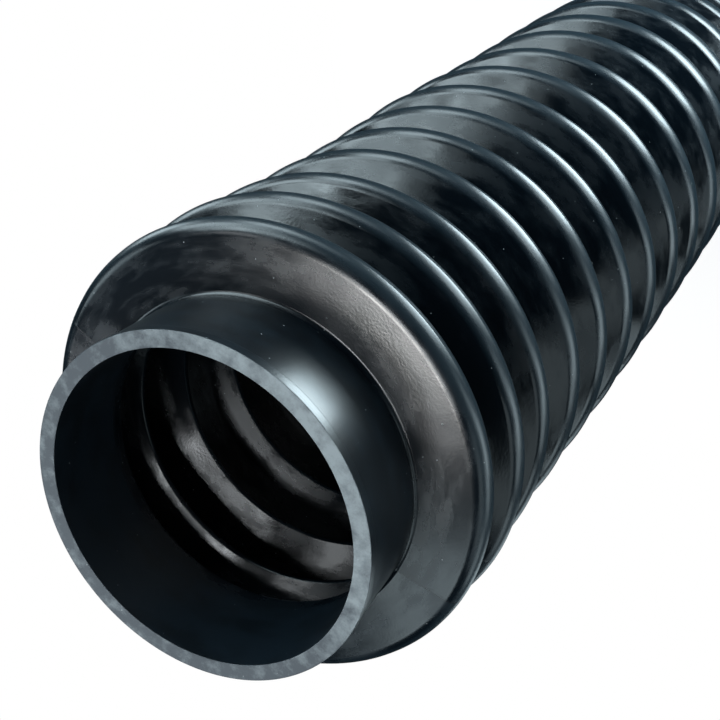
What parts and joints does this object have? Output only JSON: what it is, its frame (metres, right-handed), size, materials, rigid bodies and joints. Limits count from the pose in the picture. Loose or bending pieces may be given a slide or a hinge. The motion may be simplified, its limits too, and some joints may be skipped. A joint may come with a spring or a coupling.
{
  "type": "rubber bellows boot",
  "caption": "Moulded rubber bellows boot: a tube of open folds between plain cuffs that clamp over round spigots and cover a sliding rod.",
  "frame": {"origin": "centre of the lower cuff's rim, which the boot stands on", "axes": "+Z along the boot's axis, from the lower cuff up to the open mouth; the boot is a body of revolution, so X and Y are any pair square to it"},
  "size_m": [0.0844, 0.0844, 0.311],
  "materials": {
    "bellows_boot": "semi-matte black moulded rubber with a faint bloom"
  },
  "bodies": {
    "root": {"bellows_boot": "bellows_boot"}
  },
  "joints": []
}
